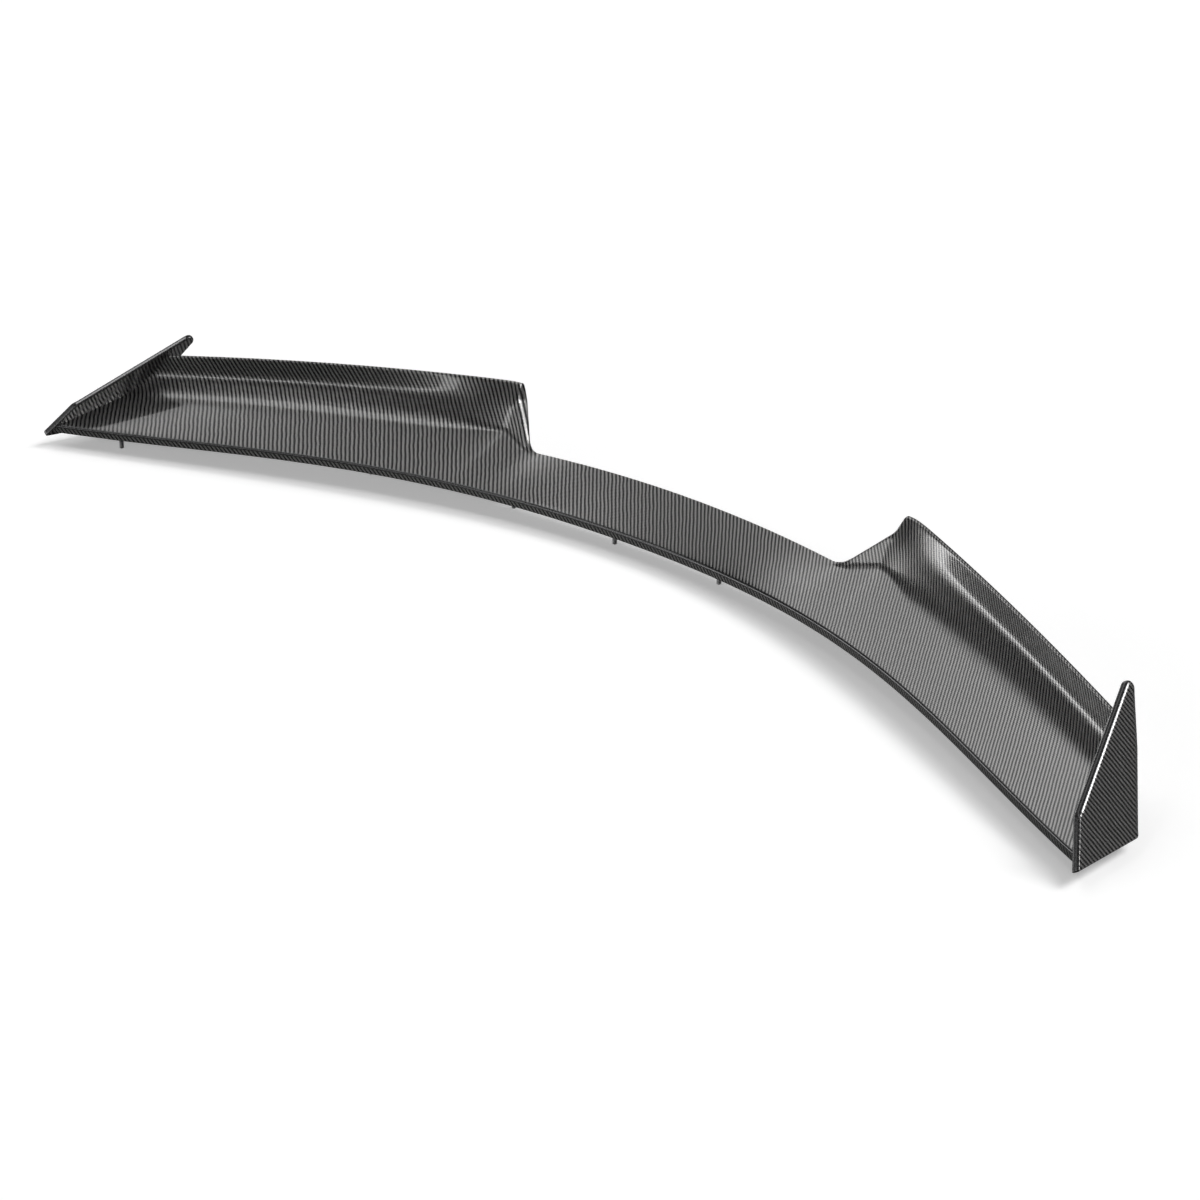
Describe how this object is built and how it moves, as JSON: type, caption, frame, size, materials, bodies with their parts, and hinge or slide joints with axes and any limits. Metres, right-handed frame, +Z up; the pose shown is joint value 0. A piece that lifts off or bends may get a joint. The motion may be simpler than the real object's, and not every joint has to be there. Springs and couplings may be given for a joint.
{
  "type": "rear wing",
  "caption": "Swept rear wing for a sports car in glossy twill carbon: slim blade, raised flap either side, leaning end plates and threaded studs underneath.",
  "frame": {"origin": "on the centre line, half way between the foremost and rearmost points, at the height of the stud ends that the wing stands on", "axes": "+X along the span to the wing's right-hand end when the leading edge faces the viewer, +Y rearwards, from leading to trailing edge, +Z up"},
  "size_m": [1.7282, 0.3708, 0.137],
  "materials": {
    "twill_carbon": "two-by-two twill carbon laminate under clear gloss lacquer",
    "core_foam": "closed-cell structural foam",
    "zinc_steel": "zinc-plated steel",
    "dowel_aluminium": "plain turned",
    "black_nylon": "glass-filled nylon, moulded",
    "seal_rubber": "closed-cell rubber",
    "tape_foam": "self-adhesive foam tape"
  },
  "bodies": {
    "root": {"end_plate_core_left": "core_foam", "end_plate_core_right": "core_foam", "end_plate_dowels": "dowel_aluminium", "end_plate_inner_left": "twill_carbon", "end_plate_inner_right": "twill_carbon", "end_plate_outer_left": "twill_carbon", "end_plate_outer_right": "twill_carbon", "end_rib_left": "twill_carbon", "end_rib_right": "twill_carbon", "front_tape": "tape_foam", "lip_core_left": "core_foam", "lip_core_right": "core_foam", "locating_pins": "black_nylon", "lower_panel": "twill_carbon", "rear_panel_centre": "twill_carbon", "rear_panel_left": "twill_carbon", "rear_panel_right": "twill_carbon", "rear_tape": "tape_foam", "rib_centre": "twill_carbon", "rib_inner_left": "twill_carbon", "rib_inner_right": "twill_carbon", "rib_middle_left": "twill_carbon", "rib_middle_right": "twill_carbon", "stud_bosses": "black_nylon", "stud_gaskets": "seal_rubber", "stud_plates": "zinc_steel", "studs": "zinc_steel", "upper_shell": "twill_carbon"}
  },
  "joints": []
}
